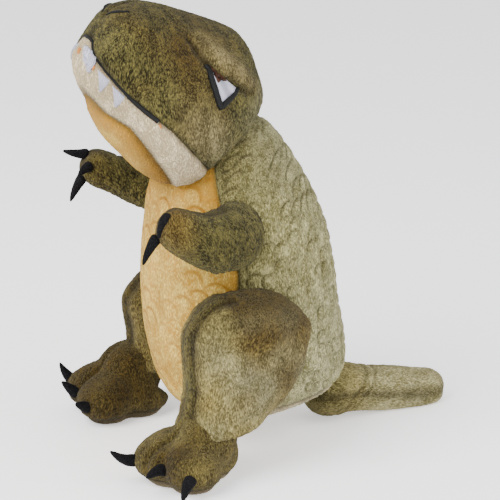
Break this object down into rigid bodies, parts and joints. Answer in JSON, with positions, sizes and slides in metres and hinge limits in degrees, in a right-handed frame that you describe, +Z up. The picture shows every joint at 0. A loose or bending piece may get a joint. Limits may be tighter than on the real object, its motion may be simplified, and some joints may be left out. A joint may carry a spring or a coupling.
{
  "type": "stuffed dinosaur",
  "caption": "Plush upright two-legged dinosaur with a large tilted head, small arms, pillow feet, cloth claws and a short tail it leans on.",
  "frame": {"origin": "middle of the bounding box at the ground, which the soles and the tail rest on", "axes": "+Z up, the animal faces -Y and its left side is +X"},
  "size_m": [0.132, 0.1722, 0.185],
  "materials": {
    "body_plush": "short-pile printed plush, grey-green, embossed with scales",
    "belly_plush": "short-pile plush, yellow-cream, printed with ochre scale arcs",
    "cream_plush": "short-pile plush, plain cream",
    "head_plush": "short-pile plush, dark olive with light and dark streaks",
    "jaw_plush": "short-pile plush, yellow with brown airbrushed shading",
    "mouth_plush": "short-pile plush, beige-cream",
    "tail_plush": "short-pile plush, olive-tan",
    "limb_plush": "short-pile plush, olive-tan with dark brown shading",
    "claw_cloth": "near-black brushed cloth",
    "white_stitch": "white satin-stitch embroidery",
    "brown_stitch": "brown satin-stitch embroidery",
    "black_stitch": "black satin-stitch embroidery",
    "polyester_fill": "polyester fibre stuffing",
    "pouch_cloth": "plain woven pouch of pellets"
  },
  "bodies": {
    "torso": {"body_panel_left": "body_plush", "body_panel_right": "body_plush", "belly_panel": "belly_plush", "seat_panel": "cream_plush", "pellet_pouch": "pouch_cloth", "body_stuffing": "polyester_fill"},
    "head": {"head_panel_left": "head_plush", "head_panel_right": "head_plush", "jaw_panel": "jaw_plush", "mouth_band_left": "mouth_plush", "mouth_band_right": "mouth_plush", "head_stuffing": "polyester_fill", "lip_stitching": "black_stitch", "eye_left": "white_stitch", "iris_left": "brown_stitch", "nostril_left": "black_stitch", "brow_left": "head_plush", "eye_right": "white_stitch", "iris_right": "brown_stitch", "nostril_right": "black_stitch", "brow_right": "head_plush", "tooth_left_1": "white_stitch", "tooth_left_2": "white_stitch", "tooth_left_3": "white_stitch", "tooth_right_1": "white_stitch", "tooth_right_2": "white_stitch", "tooth_right_3": "white_stitch"},
    "tail": {"tail_top_panel": "tail_plush", "tail_under_panel": "tail_plush", "tail_stuffing": "polyester_fill"},
    "arm_left": {"arm_outer_panel_left": "limb_plush", "arm_inner_panel_left": "limb_plush", "arm_stuffing_left": "polyester_fill", "hand_claw_left_1": "claw_cloth", "hand_claw_left_2": "claw_cloth", "hand_claw_left_3": "claw_cloth"},
    "arm_right": {"arm_outer_panel_right": "limb_plush", "arm_inner_panel_right": "limb_plush", "arm_stuffing_right": "polyester_fill", "hand_claw_right_1": "claw_cloth", "hand_claw_right_2": "claw_cloth", "hand_claw_right_3": "claw_cloth"},
    "leg_left": {"leg_outer_panel_left": "limb_plush", "leg_inner_panel_left": "limb_plush", "leg_stuffing_left": "polyester_fill"},
    "leg_right": {"leg_outer_panel_right": "limb_plush", "leg_inner_panel_right": "limb_plush", "leg_stuffing_right": "polyester_fill"},
    "foot_left": {"sole_left": "cream_plush", "foot_top_panel_left": "limb_plush", "foot_stuffing_left": "polyester_fill", "foot_claw_left_1": "claw_cloth", "foot_claw_left_2": "claw_cloth", "foot_claw_left_3": "claw_cloth"},
    "foot_right": {"sole_right": "cream_plush", "foot_top_panel_right": "limb_plush", "foot_stuffing_right": "polyester_fill", "foot_claw_right_1": "claw_cloth", "foot_claw_right_2": "claw_cloth", "foot_claw_right_3": "claw_cloth"}
  },
  "joints": [
    {"name": "neck_nod", "type": "hinge", "parent": "torso", "child": "head", "pos_m": [-0.00524, -0.01747, 0.119], "axis": [1, 0, 0], "range_deg": [-8, 8], "stiffness_Nm_per_rad": 0.4},
    {"name": "tail_lift", "type": "hinge", "parent": "torso", "child": "tail", "pos_m": [-0.00524, 0.03113, 0.013], "axis": [1, 0, 0], "range_deg": [-10, 10], "stiffness_Nm_per_rad": 0.3},
    {"name": "shoulder_left", "type": "hinge", "parent": "torso", "child": "arm_left", "pos_m": [0.01676, -0.02287, 0.103], "axis": [1, 0, 0], "range_deg": [-12, 5], "stiffness_Nm_per_rad": 0.15},
    {"name": "shoulder_right", "type": "hinge", "parent": "torso", "child": "arm_right", "pos_m": [-0.02924, -0.02887, 0.1], "axis": [1, 0, 0], "range_deg": [-12, 5], "stiffness_Nm_per_rad": 0.15},
    {"name": "hip_left", "type": "hinge", "parent": "torso", "child": "leg_left", "pos_m": [0.03476, -0.02487, 0.052], "axis": [1, 0, 0], "range_deg": [-5, 5], "stiffness_Nm_per_rad": 1.5},
    {"name": "hip_right", "type": "hinge", "parent": "torso", "child": "leg_right", "pos_m": [-0.04524, -0.02487, 0.052], "axis": [1, 0, 0], "range_deg": [-5, 5], "stiffness_Nm_per_rad": 1.5},
    {"name": "ankle_left", "type": "hinge", "parent": "leg_left", "child": "foot_left", "pos_m": [0.03476, -0.04087, 0.023], "axis": [1, 0, 0], "range_deg": [-8, 8], "stiffness_Nm_per_rad": 1},
    {"name": "ankle_right", "type": "hinge", "parent": "leg_right", "child": "foot_right", "pos_m": [-0.04524, -0.04087, 0.023], "axis": [1, 0, 0], "range_deg": [-8, 8], "stiffness_Nm_per_rad": 1}
  ]
}
